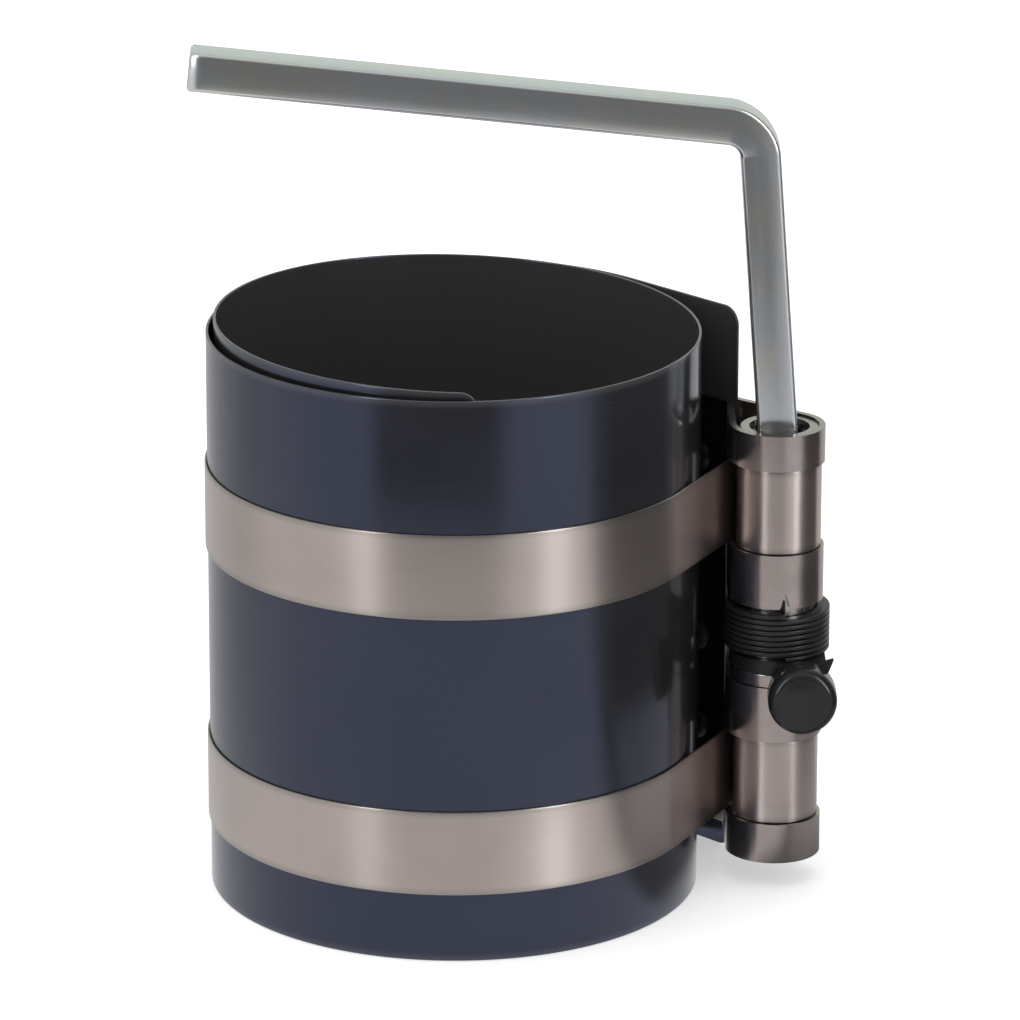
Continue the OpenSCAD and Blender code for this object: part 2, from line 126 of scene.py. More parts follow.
def gridMesh(name, points, uv, marks=None):
    # a closed mesh from a grid of points: rows run along the piece, columns run round its section, and a
    # face closes each end
    rows, columns = points.shape[:2]
    index = np.arange(rows * columns).reshape(rows, columns)
    beside = np.roll(index, -1, axis=1)
    faces = np.stack([index[:-1], beside[:-1], beside[1:], index[1:]], axis=2).reshape(-1, 4).tolist()
    faces.append(index[0, ::-1].tolist())
    faces.append(index[-1].tolist())
    mesh = bpy.data.meshes.new(name)
    mesh.from_pydata(points.reshape(-1, 3).tolist(), [], faces)
    layer = mesh.uv_layers.new(name="follow")
    corner = np.zeros(len(mesh.loops), np.int32)
    mesh.loops.foreach_get("vertex_index", corner)
    layer.data.foreach_set("uv", uv.reshape(-1, 2)[corner].astype(np.float32).ravel())
    for label, values in (marks or {}).items():
        mark = mesh.attributes.new(label, "FLOAT", "POINT")
        mark.data.foreach_set("value", values.reshape(-1).astype(np.float32))
    body = bpy.data.objects.new(name, mesh)
    bpy.context.scene.collection.objects.link(body)
    outwards = bmesh.new()
    outwards.from_mesh(mesh)
    bmesh.ops.recalc_face_normals(outwards, faces=outwards.faces)
    outwards.to_mesh(mesh)
    outwards.free()
    mesh.shade_smooth()
    return body


sheetEdge = {
    "steps": 4,  # faces round each quarter of an edge
    "rimFadeWidth": 0.9,  # mm beside the rounded edge over which the rim's look fades
    "rimFadeAt": (0.35, 0.7, 1.0),  # rows of the fade, as shares of that width
    "rimFadeMark": (0.75, 0.3, 0.0),  # how much of the rim's look is left there
}


def stripSection(thickness, edgeRadius, rowCount):
    # section of a sheet on edge: offset across the sheet, share of the height, height added to it, and two
    # marks: the rim, 1 on the rounded edges and fading beside them, and the inner side
    half = thickness / 2
    angle = np.linspace(0, math.pi / 2, sheetEdge["steps"] + 1)
    inner = half - edgeRadius
    share = np.linspace(0, 1, rowCount + 2)[1:-1]
    fade = edgeRadius + sheetEdge["rimFadeWidth"] * np.array(sheetEdge["rimFadeAt"])
    low = np.concatenate([-(inner + edgeRadius * np.cos(angle)), inner + edgeRadius * np.cos(angle[::-1])])
    lowZ = np.concatenate([edgeRadius * (1 - np.sin(angle)), edgeRadius * (1 - np.sin(angle[::-1]))])
    fading = np.array(sheetEdge["rimFadeMark"])
    none, full, rows = np.zeros(len(fade)), np.ones(len(fade)), np.zeros(rowCount)
    side = np.full(rowCount + 2 * len(fade), half)
    across = np.concatenate([low, side, low[::-1], -side])
    height = np.concatenate([
        np.zeros(len(low)), none, share, full, np.ones(len(low)), full, share[::-1], none
    ])
    added = np.concatenate([lowZ, fade, rows, -fade[::-1], -lowZ[::-1], -fade, rows, fade[::-1]])
    mark = np.concatenate([
        np.ones(len(low)), fading, rows, fading[::-1], np.ones(len(low)), fading, rows, fading[::-1]
    ])
    return across, height, added, {"rim": mark, "inside": (across > 0) * 1.0}


def stripMesh(name, path, low, high, thickness, edgeRadius, rowCount, ripple=None):
    # a sheet on edge along a plan path, in millimetres: each point is the path's point plus an offset
    # along the path's normal, at a height between the strip's lower and upper edge there
    normal, length = pathFrame(path)
    across, height, added, marks = stripSection(thickness, edgeRadius, rowCount)
    low = np.broadcast_to(low, (len(path),))[:, None]
    high = np.broadcast_to(high, (len(path),))[:, None]
    z = low + (high - low) * height[None, :] + added[None, :]
    offset = np.broadcast_to(across[None, :], z.shape)
    if ripple is not None:
        offset = offset + ripple(length[:, None], z)
    x = path[:, 0][:, None] + offset * normal[:, 0][:, None]
    y = path[:, 1][:, None] + offset * normal[:, 1][:, None]
    points = np.stack([x, y, z], axis=2) * mm
    uv = np.stack([np.broadcast_to(length[:, None], z.shape), z], axis=2) * mm
    spread = {label: np.broadcast_to(mark[None, :], z.shape) for label, mark in marks.items()}
    return gridMesh(name, points, uv, marks=spread)


easing = {
    "merge": 0.002,  # mm
    "flat": 0.5,  # degrees between faces that become one
    "crease": 32.0,  # degrees from which an edge is eased or kept crisp
    "segments": 2,
    "roundWithin": 0.02,  # mm by which the corners of a round face may differ in radius
    "facing": 0.9,  # how squarely a round face looks away from the axis, as a cosine
}


def refined(node, bevel):
    # a copy of a CAD node without its own properties, with its doubled points merged and its edges eased
    body = nodes[node].copy()
    body.data = nodes[node].data.copy()
    body.name = node + "Eased"
    for key in list(body.keys()):
        del body[key]
    body.parent = None
    bpy.context.scene.collection.objects.link(body)
    merged = bmesh.new()
    merged.from_mesh(body.data)
    bmesh.ops.remove_doubles(merged, verts=merged.verts, dist=easing["merge"] * mm)
    bmesh.ops.dissolve_limit(
        merged, angle_limit=math.radians(easing["flat"]), verts=merged.verts, edges=merged.edges
    )
    merged.to_mesh(body.data)
    merged.free()
    body.data.shade_smooth()
    if not bevel:
        return body
    ease = body.modifiers.new("ease", "BEVEL")
    ease.width = bevel * mm
    ease.segments = easing["segments"]
    ease.limit_method = "ANGLE"
    ease.angle_limit = math.radians(easing["crease"])
    # keeps the wide faces flat beside the eased edges
    flats = body.modifiers.new("flats", "WEIGHTED_NORMAL")
    flats.mode = "FACE_AREA"
    flats.weight = 100
    return body


def roundNormals(body, centre):
    # crisp edges, and on each upright face whose corners all lie at one distance from the axis the true
    # normals of that cylinder, so that a facet cut by the notch shades like the others
    mesh = body.data
    mesh.set_sharp_from_angle(angle=math.radians(easing["crease"]))
    loops = len(mesh.loops)
    normals = np.zeros(loops * 3)
    mesh.corner_normals.foreach_get("vector", normals)
    normals = normals.reshape(-1, 3)
    corner = np.zeros(loops, np.int32)
    mesh.loops.foreach_get("vertex_index", corner)
    points = np.zeros(len(mesh.vertices) * 3)
    mesh.vertices.foreach_get("co", points)
    away = points.reshape(-1, 3)[corner] - [*centre, 0]
    away[:, 2] = 0
    radius = np.linalg.norm(away, axis=1)
    away /= np.maximum(radius, 1e-9)[:, None]
    for face in mesh.polygons:
        part = slice(face.loop_start, face.loop_start + face.loop_total)
        facing = away[part] @ np.array(face.normal)
        if np.ptp(radius[part]) < easing["roundWithin"] * mm and np.abs(facing).min() > easing["facing"]:
            normals[part] = away[part] * np.sign(facing)[:, None]
    mesh.normals_split_custom_set(normals.tolist())


def newGroup(name, inputs, outputs):
    group = bpy.data.node_groups.new(name, "ShaderNodeTree")
    for label, kind, value in inputs:
        socket = group.interface.new_socket(name=label, in_out="INPUT", socket_type=kind)
        if value is not None:
            socket.default_value = value
    for label, kind in outputs:
        group.interface.new_socket(name=label, in_out="OUTPUT", socket_type=kind)
    return group, group.nodes.new("NodeGroupInput"), group.nodes.new("NodeGroupOutput")


def feed(tree, socket, value):
    # a number or a colour is set on the socket, and another node's output is linked to it
    if isinstance(value, (int, float)):
        socket.default_value = value
    elif isinstance(value, tuple):
        socket.default_value = (*value, 1.0)
    else:
        tree.links.new(value, socket)


def mathNode(tree, operation, first, second=None, clamp=False):
    node = tree.nodes.new("ShaderNodeMath")
    node.operation = operation
    node.use_clamp = clamp
    feed(tree, node.inputs[0], first)
    if second is not None:
        feed(tree, node.inputs[1], second)
    return node.outputs[0]


def makeGrainGroup():
    # fine lines along the first coordinate: noise on coordinates that are short along the lines and long
    # across them
    group, entry, leave = newGroup(
        "grain",
        [
            ("Vector", "NodeSocketVector", None),
            ("Lines", "NodeSocketFloat", 9000.0),
            ("Stretch", "NodeSocketFloat", 0.01),
            ("Depth", "NodeSocketFloat", 1.0),
        ],
        [("Value", "NodeSocketFloat")],
    )
    split = group.nodes.new("ShaderNodeSeparateXYZ")
    group.links.new(entry.outputs["Vector"], split.inputs[0])
    short = mathNode(group, "MULTIPLY", entry.outputs["Lines"], entry.outputs["Stretch"])
    along = mathNode(group, "MULTIPLY", split.outputs[0], short)
    across = mathNode(group, "MULTIPLY", split.outputs[1], entry.outputs["Lines"])
    third = mathNode(group, "MULTIPLY", split.outputs[2], entry.outputs["Lines"])
    join = group.nodes.new("ShaderNodeCombineXYZ")
    for slot, value in enumerate((along, across, third)):
        group.links.new(value, join.inputs[slot])
    noise = group.nodes.new("ShaderNodeTexNoise")
    noise.inputs["Scale"].default_value = 1.0
    noise.inputs["Detail"].default_value = 3.0
    group.links.new(join.outputs[0], noise.inputs["Vector"])
    centred = mathNode(group, "SUBTRACT", noise.outputs[0], 0.5)
    deep = mathNode(group, "MULTIPLY", centred, entry.outputs["Depth"])
    group.links.new(mathNode(group, "ADD", deep, 0.5, clamp=True), leave.inputs["Value"])
    return group


def makeSmearGroup():
    # soft patches: noise of a given size, pulled apart between two levels
    group, entry, leave = newGroup(
        "smear",
        [
            ("Vector", "NodeSocketVector", None),
            ("Size", "NodeSocketFloat", 60.0),
            ("Low", "NodeSocketFloat", 0.35),
            ("High", "NodeSocketFloat", 0.65),
        ],
        [("Value", "NodeSocketFloat")],
    )
    noise = group.nodes.new("ShaderNodeTexNoise")
    noise.inputs["Detail"].default_value = 2.5
    group.links.new(entry.outputs["Vector"], noise.inputs["Vector"])
    group.links.new(entry.outputs["Size"], noise.inputs["Scale"])
    ramp = group.nodes.new("ShaderNodeMapRange")
    ramp.interpolation_type = "SMOOTHSTEP"
    group.links.new(noise.outputs[0], ramp.inputs["Value"])
    group.links.new(entry.outputs["Low"], ramp.inputs["From Min"])
    group.links.new(entry.outputs["High"], ramp.inputs["From Max"])
    group.links.new(ramp.outputs["Result"], leave.inputs["Value"])
    return group


grainGroup = makeGrainGroup()
smearGroup = makeSmearGroup()


def placeGroup(tree, group, **values):
    node = tree.nodes.new("ShaderNodeGroup")
    node.node_tree = group
    for label, value in values.items():
        feed(tree, node.inputs[label], value)
    return node.outputs[0]


def mixColours(tree, share, first, second):
    node = tree.nodes.new("ShaderNodeMix")
    node.data_type = "RGBA"
    feed(tree, node.inputs[0], share)
    for slot, value in zip([s for s in node.inputs if s.type == "RGBA"], (first, second)):
        feed(tree, slot, value)
    return next(s for s in node.outputs if s.type == "RGBA")


def mixValues(tree, share, low, high):
    # the share stretched to the span from low to high
    node = tree.nodes.new("ShaderNodeMapRange")
    node.inputs["To Min"].default_value = low
    node.inputs["To Max"].default_value = high
    tree.links.new(share, node.inputs["Value"])
    return node.outputs["Result"]


patchEdges = {"Low": 0.36, "High": 0.64}
acrossGrain = 0.25  # the anisotropic highlight's turn, as a share of a full one


def metalMaterial(name, look):
    # one metal: two shades in soft patches and fine lines in shade, roughness and relief; a sheet may have
    # another shade at its rim, and on its inner side a lighter painted shade that stands in for the light
    # inside the sleeve
    material = bpy.data.materials.new(name)
    material.use_nodes = True
    tree = material.node_tree
    shader = tree.nodes["Principled BSDF"]
    place = tree.nodes.new("ShaderNodeTexCoord")
    vector = place.outputs["UV"] if look["follow"] else place.outputs["Object"]
    grain = placeGroup(
        tree, grainGroup, Vector=vector, Lines=look["lines"], Stretch=look["stretch"], Depth=look["depth"]
    )
    smear = placeGroup(tree, smearGroup, Vector=place.outputs["Object"], Size=look["patch"], **patchEdges)
    colour = mixColours(tree, smear, look["shadeA"], look["shadeB"])
    shine = mathNode(tree, "MULTIPLY", mathNode(tree, "SUBTRACT", grain, 0.5), look["shadeGrain"])
    lift = mathNode(tree, "ADD", shine, 1.0)
    scaled = tree.nodes.new("ShaderNodeVectorMath")
    scaled.operation = "SCALE"
    tree.links.new(colour, scaled.inputs[0])
    tree.links.new(lift, scaled.inputs["Scale"])
    colour = scaled.outputs[0]
    shader.inputs["Metallic"].default_value = look["metallic"]
    shader.inputs["IOR"].default_value = look.get("ior", 1.5)
    shader.inputs["Specular IOR Level"].default_value = look.get("gloss", 0.5)
    shader.inputs["Specular Tint"].default_value = (*look.get("tint", (1.0, 1.0, 1.0)), 1.0)
    shader.inputs["Anisotropic"].default_value = look.get("drawn", 0.0)
    shader.inputs["Anisotropic Rotation"].default_value = acrossGrain if look.get("drawn") else 0.0
    # the inner side's shade is painted light: lighter than the outside, it stands in for light inside the
    # sleeve
    if look.get("inner"):
        inside = tree.nodes.new("ShaderNodeAttribute")
        inside.attribute_name = "inside"
        colour = mixColours(tree, inside.outputs["Fac"], colour, look["inner"])
    if look.get("rim"):
        mark = tree.nodes.new("ShaderNodeAttribute")
        mark.attribute_name = "rim"
        colour = mixColours(tree, mark.outputs["Fac"], colour, look["rim"])
    tree.links.new(colour, shader.inputs["Base Color"])
    rough = mixValues(tree, grain, look["roughLow"], look["roughHigh"])
    worn = mixValues(tree, smear, -look["roughPatch"], look["roughPatch"])
    tree.links.new(mathNode(tree, "ADD", rough, worn, clamp=True), shader.inputs["Roughness"])
    bump = tree.nodes.new("ShaderNodeBump")
    bump.inputs["Strength"].default_value = look["bump"]
    bump.inputs["Distance"].default_value = look["relief"] * mm
    tree.links.new(grain, bump.inputs["Height"])
    tree.links.new(bump.outputs["Normal"], shader.inputs["Normal"])
    return material


# follow: grain along the sheet instead of on plain coordinates; lines and patch: per metre; stretch: how
# much shorter the pattern is along the lines; depth: contrast of the lines; shadeGrain: how much they
# change the shade; inner: the inner side's lighter painted shade, which stands in for light inside the
# sleeve; rim: the shade at the rims; drawn: anisotropy; relief: mm
finishes = {
    # blueing is an oxide skin: a dark ground under a bluish gloss, grey at the rims; the lighter inner
    # side is painted light, a painted fill inside the sleeve
    "bluedSteel": {
        "follow": True, "lines": 2600.0, "stretch": 0.012, "depth": 1.4, "patch": 42.0,
        "shadeA": (0.017, 0.016, 0.0155), "shadeB": (0.021, 0.02, 0.019), "shadeGrain": 0.15,
        "inner": (0.058, 0.055, 0.056), "rim": (0.06, 0.058, 0.055), "metallic": 0.0, "ior": 1.7,
        "tint": (0.49, 0.60, 1.0), "roughLow": 0.14, "roughHigh": 0.18, "roughPatch": 0.03,
        "bump": 0.12, "relief": 0.004,
    },
    "bandSteel": {
        "follow": True, "lines": 7000.0, "stretch": 0.01, "depth": 1.4, "patch": 60.0,
        "shadeA": (0.41, 0.353, 0.335), "shadeB": (0.445, 0.385, 0.365), "shadeGrain": 0.08,
        "rim": (0.33, 0.30, 0.28), "metallic": 0.96, "roughLow": 0.28, "roughHigh": 0.31,
        "roughPatch": 0.01, "bump": 0.1, "relief": 0.004, "drawn": 0.74,
    },
    "housingSteel": {
        "follow": False, "lines": 2500.0, "stretch": 0.7, "depth": 1.2, "patch": 170.0,
        "shadeA": (0.33, 0.287, 0.275), "shadeB": (0.365, 0.32, 0.307), "shadeGrain": 0.1,
        "metallic": 0.96, "roughLow": 0.2, "roughHigh": 0.26, "roughPatch": 0.02,
        "bump": 0.1, "relief": 0.004,
    },
    "shaftSteel": {
        "follow": False, "lines": 2200.0, "stretch": 0.6, "depth": 1.2, "patch": 200.0,
        "shadeA": (0.33, 0.305, 0.29), "shadeB": (0.40, 0.375, 0.36), "shadeGrain": 0.2,
        "metallic": 0.96, "roughLow": 0.2, "roughHigh": 0.32, "roughPatch": 0.03,
        "bump": 0.2, "relief": 0.006,
    },
    "blackSteel": {
        "follow": False, "lines": 2400.0, "stretch": 0.8, "depth": 1.2, "patch": 220.0,
        "shadeA": (0.022, 0.021, 0.022), "shadeB": (0.034, 0.033, 0.034), "shadeGrain": 0.3,
        "metallic": 0.3, "gloss": 0.25, "roughLow": 0.28, "roughHigh": 0.4, "roughPatch": 0.04,
        "bump": 0.2, "relief": 0.006,
    },
    "knobBlack": {
        "follow": False, "lines": 1500.0, "stretch": 0.9, "depth": 1.0, "patch": 240.0,
        "shadeA": (0.016, 0.016, 0.018), "shadeB": (0.021, 0.021, 0.023), "shadeGrain": 0.15,
        "metallic": 0.0, "gloss": 0.25, "roughLow": 0.14, "roughHigh": 0.2, "roughPatch": 0.02,
        "bump": 0.1, "relief": 0.006,
    },
}
materials = {name: metalMaterial(name, look) for name, look in finishes.items()}
print("materials made:", len(materials))


def dress(body, material):
    body.data.materials.clear()
    body.data.materials.append(material)


# sheet and bands in plan, in millimetres and degrees from +X, with the same values as the part's source
plan = {
    "sleeveD": 69.2,
    "sleeveH": 80.0,
    "sheetT": 0.4,
    "wrapGap": 0.65,  # free space between the two wraps
    "tabAngle": 44.0,
    "tabLen": 20.7,
    "cornerR": 2.5,
    "innerEnd": 275.0,
    "stepAngle": 330.0,  # middle of the stretch where the sheet steps inwards
    "askewH": 1.9,  # how far the inner wrap stands up at its highest place
    "askewAngle": 185.0,  # direction of that place
    "bandT": 0.3,
    "bandGap": 0.05,
    "bandStop": 1.0,  # the bands stop this far short of the tab's end
    "drumReach": 11.3,  # from the tab's end to the shaft's axis
    "drumIn": 3.5,  # from the tab's face in to the shaft's axis
    "shaftD": 10.8,
    "bandTurns": 2,
    "coilGap": 0.12,
    "leadAngle": 40.0,  # how far a band lies round its turns before it ends
}
# how the sheet and the bands are cut into faces: lengths of the steps along them and radii of their edges
# in millimetres, points round a corner, and rows between the edges
cuts = {
    "sheetStep": 0.45,
    "bandStep": 0.5,
    "leadStep": 0.3,
    "cornerPoints": 13,
    "sheetEdgeR": 0.12,
    "bandEdgeR": 0.1,
    "sheetRows": 18,
    "bandRows": 4,
}

frameTurn = plan["tabAngle"] - 90
sleeveR = plan["sleeveD"] / 2
stepIn = plan["sheetT"] + plan["wrapGap"]
innerR = sleeveR - stepIn
stepMid = plan["stepAngle"] - frameTurn
stepEnd = 90.0 + 360  # the tab's root, one turn on
stepStart = 2 * stepMid - stepEnd
innerStop = plan["innerEnd"] - frameTurn + 360
stepShift = stepIn / (2 * (1 - math.cos(math.radians((stepEnd - stepStart) / 2))))


def direction(degrees):
    # unit vector in plan
    return np.array([math.cos(math.radians(degrees)), math.sin(math.radians(degrees))])


outCentre = stepShift * direction(stepStart)
inCentre = -stepShift * direction(stepEnd)
drum = np.array([plan["tabLen"] + plan["drumReach"], sleeveR - plan["drumIn"]])
shaftR = plan["shaftD"] / 2
coilR = shaftR + plan["bandGap"] / 2 + plan["bandTurns"] * plan["bandT"]
leadR = coilR + plan["coilGap"] + plan["bandT"] / 2
exitR = innerR + stepShift + plan["bandGap"] + plan["bandT"] / 2
span = drum - inCentre
exitAngle = math.degrees(
    math.atan2(span[1], span[0]) - math.acos((exitR + leadR) / np.linalg.norm(span))
)


def sheetPath(lift, straightLen, spacing):
    # the tab, the first wrap and the first arc of the step inwards, moved out from the sheet's outer face
    return [
        linePoints((straightLen, sleeveR + lift), (0, sleeveR + lift), spacing),
        arcPoints((0, 0), sleeveR + lift, 90, stepStart, spacing),
        arcPoints(outCentre, sleeveR - stepShift + lift, stepStart, stepMid, spacing),
    ]


# the faint waviness of rolled sheet, in millimetres
waves = {"depth": 0.015, "along": 9.0, "sway": 0.6, "swayRise": 14.0, "rise": 25.0, "start": 0.4}


def makeSleeve():
    # a wall on the sheet's middle line; its edges follow the round corners and the askew inner wrap
    half = plan["sheetT"] / 2
    corner = plan["cornerR"]
    step, count = cuts["sheetStep"], cuts["cornerPoints"]
    endFine = corner * (1 - np.cos(np.linspace(0, math.pi / 2, count)))
    tabEnd = np.stack([plan["tabLen"] - endFine, np.full(count, sleeveR - half)], axis=1)
    outer = sheetPath(-half, plan["tabLen"] - corner, step)
    midR = innerR - half
    lastAngle = np.radians(innerStop) - endFine[::-1] / midR
    inner = [
        arcPoints(inCentre, innerR + stepShift - half, stepMid, stepEnd, step),
        arcPoints((0, 0), midR, stepEnd, innerStop - math.degrees(corner / midR), step),
        midR * np.stack([np.cos(lastAngle), np.sin(lastAngle)], axis=1),
    ]
    path = joinRuns([tabEnd, *outer, *inner])
    outerLen = np.linalg.norm(np.diff(joinRuns([tabEnd, *outer]), axis=0), axis=1).sum()
    _, length = pathFrame(path)
    # how far each point lies from its end of the sheet, and what the round corners cut off there
    reach = np.where(length < outerLen, plan["tabLen"] - path[:, 0], length[-1] - length)
    nearEnd = (length < corner) | (length[-1] - length < corner)
    short = np.clip(corner - reach, 0, corner)
    cut = np.where(nearEnd, corner - np.sqrt(corner**2 - short**2), 0)
    # the inner wrap lies in a plane tilted about a line through the step: its height is the distance
    # beyond that line, times the tilt's slope
    aim = direction(plan["askewAngle"] - frameTurn)
    pivot = sleeveR * (direction(stepMid) @ aim)
    slope = plan["askewH"] / (sleeveR - pivot)
    rise = np.where(length > outerLen, (path @ aim - pivot) * slope, 0)
    bottom = np.maximum(cut + rise, 0)
    top = plan["sleeveH"] - cut + rise

    def ripple(along, z):
        # one sine along the sheet that sways with the height, times a slower one up the sheet
        bend = np.sin(along / waves["along"] + waves["sway"] * np.sin(z / waves["swayRise"]))
        return waves["depth"] * bend * np.sin(z / waves["rise"] + waves["start"])

    body = stripMesh(
        "sleeveSheet", turned(path, frameTurn), bottom, top, plan["sheetT"],
        cuts["sheetEdgeR"], cuts["sheetRows"], ripple,
    )
    dress(body, materials["bluedSteel"])
    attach(body, "root")
    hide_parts("sleeve")


def makeBand(node, name):
    # a band on the sheet's outer face, then straight to the shaft's far side and round it
    half = plan["bandT"] / 2
    lift = plan["bandGap"] + half
    step = cuts["bandStep"]
    outward = direction(exitAngle)
    landing = exitAngle + 180
    runs = sheetPath(lift, plan["tabLen"] - plan["bandStop"], step)
    runs.append(arcPoints(inCentre, exitR, stepMid, exitAngle + 360, step))
    runs.append(linePoints(inCentre + exitR * outward, drum - leadR * outward, step))
    runs.append(arcPoints(drum, leadR, landing, landing - plan["leadAngle"], cuts["leadStep"]))
    path = turned(joinRuns(runs), frameTurn)
    low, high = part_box(node)
    body = stripMesh(
        name, path, low.z / mm, high.z / mm, plan["bandT"], cuts["bandEdgeR"], cuts["bandRows"]
    )
    dress(body, materials["bandSteel"])
    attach(body, "root")
    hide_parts(node)


coil = {
    "end": 345.0,  # outer end, in degrees from the place where the band meets the turns
    "shortBy": 15.0,  # degrees that its turns fall short of whole ones
    "points": 220,
    "thin": 0.9,  # share of the band's thickness, so that the turns don't touch
}


def makeCoil(node, name):
    # the turns of band on the shaft: a flat spiral that gains one thickness in each turn
    half = plan["bandT"] / 2
    end = exitAngle + 180 + coil["end"]
    start = end - 360 * plan["bandTurns"] + coil["shortBy"]
    angle = np.radians(np.linspace(start, end, coil["points"]))
    first = shaftR + plan["bandGap"] / 2 + half
    last = coilR - half
    radius = first + (last - first) * (angle - angle[0]) / (angle[-1] - angle[0])
    path = np.stack([drum[0] + radius * np.cos(angle), drum[1] + radius * np.sin(angle)], axis=1)
    low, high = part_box(node)
    body = stripMesh(
        name, turned(path, frameTurn), low.z / mm, high.z / mm, plan["bandT"] * coil["thin"],
        cuts["bandEdgeR"], cuts["bandRows"],
    )
    dress(body, materials["bandSteel"])
    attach(body, "spool")
    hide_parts(node)


makeSleeve()
makeBand("upper_tension_band", "upperBandStrip")
makeBand("lower_tension_band", "lowerBandStrip")
makeCoil("upper_band_coil", "upperBandTurns")
makeCoil("lower_band_coil", "lowerBandTurns")
print("sheet and bands made")

# the clutch's spring and the parts of the housing that it meets, in millimetres; angles from the tab
clutch = {
    "turns": 8,
    "pitch": 0.78,
    "wireH": 0.64,
    "wireW": 1.75,
    "wireEdge": 0.16,
    "gap": 0.2,  # between the shaft and the wire
    "stepsPerTurn": 72,
    "knobAngle": -44.0,  # the direction that the knob faces
    "notchW": 1.6,
    "notchH": 2.3,
    "strapT": 0.9,  # the housing's thickness
    "runGap": 0.1,  # between the shaft and the housing
    "tangShare": 0.2,  # the bent end's thickness as a share of the notch's width
    "tangEdge": 0.07,
    "tangSunk": 1.1,  # how far it reaches down from the notch's middle height
    "tangTip": 0.06,  # height of its chamfered tip
    "tangTaper": 0.8,  # the tip's width as a share of the whole
}
loopR = shaftR + clutch["runGap"] + clutch["strapT"] / 2
drumPlace = turned(drum[None, :], frameTurn)[0]


def wireSection(width, height, edge, steps=3):
    # a rounded rectangle, as offsets outwards and upwards from its middle
    corner = np.radians(np.linspace(0, 90, steps + 1))
    x, z = [], []
    for turn, sx, sz in ((0, 1, 1), (90, -1, 1), (180, -1, -1), (270, 1, -1)):
        angle = corner + math.radians(turn)
        x.append(sx * (width / 2 - edge) + edge * np.cos(angle))
        z.append(sz * (height / 2 - edge) + edge * np.sin(angle))
    return np.concatenate(x), np.concatenate(z)


def makeSpring():
    # flat wire on a helix about the shaft: its angle grows evenly and its height by one pitch in each turn
    low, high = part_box("clutch_spring")
    x, z = wireSection(clutch["wireW"], clutch["wireH"], clutch["wireEdge"])
    # the angle at which the wire ends, beside the middle of the notch
    tang = clutch["knobAngle"] + 2 * math.degrees(math.asin(clutch["notchW"] / (4 * loopR))) + frameTurn
    count = clutch["turns"] * clutch["stepsPerTurn"] + 1
    angle = np.radians(tang + np.linspace(0, 360 * clutch["turns"], count))[:, None]
    radius = shaftR + clutch["gap"] + clutch["wireW"] / 2 + x[None, :]
    rise = np.linspace(0, clutch["pitch"] * clutch["turns"], count)[:, None]
    height = low.z / mm + clutch["wireH"] / 2 + rise + z[None, :]
    points = np.stack(
        [drumPlace[0] + radius * np.cos(angle), drumPlace[1] + radius * np.sin(angle), height], axis=2
    ) * mm
    along = np.broadcast_to(angle * loopR, height.shape)
    uv = np.stack([along, height], axis=2) * mm
    body = gridMesh("wrapSpring", points, uv)
    # the upper end, bent up into the housing's notch
    outwards = direction(tang)
    sideways = direction(tang + 90)
    width, thick = clutch["strapT"], clutch["notchW"] * clutch["tangShare"]
    out, aside = wireSection(width, thick, clutch["tangEdge"])
    base = drumPlace + outwards * (shaftR + clutch["gap"] + width / 2) - sideways * (thick / 2)
    top = high.z / mm
    levels = np.array([top - clutch["notchH"] / 2 - clutch["tangSunk"], top - clutch["tangTip"], top])
    shrink = np.array([1.0, 1.0, clutch["tangTaper"]])
    ring = base + (out[:, None] * outwards + aside[:, None] * sideways) * shrink[:, None, None]
    rises = np.broadcast_to(levels[:, None, None], (*ring.shape[:2], 1))
    points = np.concatenate([ring, rises], axis=2) * mm
    end = gridMesh("springTang", points, np.zeros((*points.shape[:2], 2)))
    for piece in (body, end):
        dress(piece, materials["blackSteel"])
        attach(piece, "root")
    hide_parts("clutch_spring")


makeSpring()
print("spring made")

# the key in millimetres and degrees
keySizes = {
    "width": 5.5,
    "edge": 0.6,
    "arm": 78.0,
    "leg": 51.0,
    "bendR": 2.0,  # inside the bend
    "bend": 80.0,
    "lean": 4.1,  # of the leg in the socket
    "angle": 226.0,  # the arm's direction from the tab
    "chamfer": 0.35,
    "socketTop": 65.0,
    "socketLen": 7.0,
    "tipGap": 0.4,  # between the tip and the socket's floor
    "legPoints": 24,
    "bendPoints": 33,
    "armPoints": 40,
    "thinned": 0.18,  # how much the bend's outside draws in
    "swollen": 0.05,  # share by which its inside widens
    "narrowed": 0.6,  # how much of that its outside loses
}
plating = {
    "yellow": (0.61, 0.60, 0.58),
    "green": (0.60, 0.63, 0.58),
    "blue": (0.57, 0.59, 0.62),
    "blueCast": {"Size": 95.0, "Low": 0.42, "High": 0.62},
    "greenCast": {"Size": 38.0, "Low": 0.4, "High": 0.66},
    "lines": {"Lines": 2300.0, "Stretch": 0.02, "Depth": 1.3},
    "metallic": 0.86,
    "gloss": 0.3,
    "rough": (0.16, 0.27),
    "bump": 0.15,
    "relief": 0.005,
}


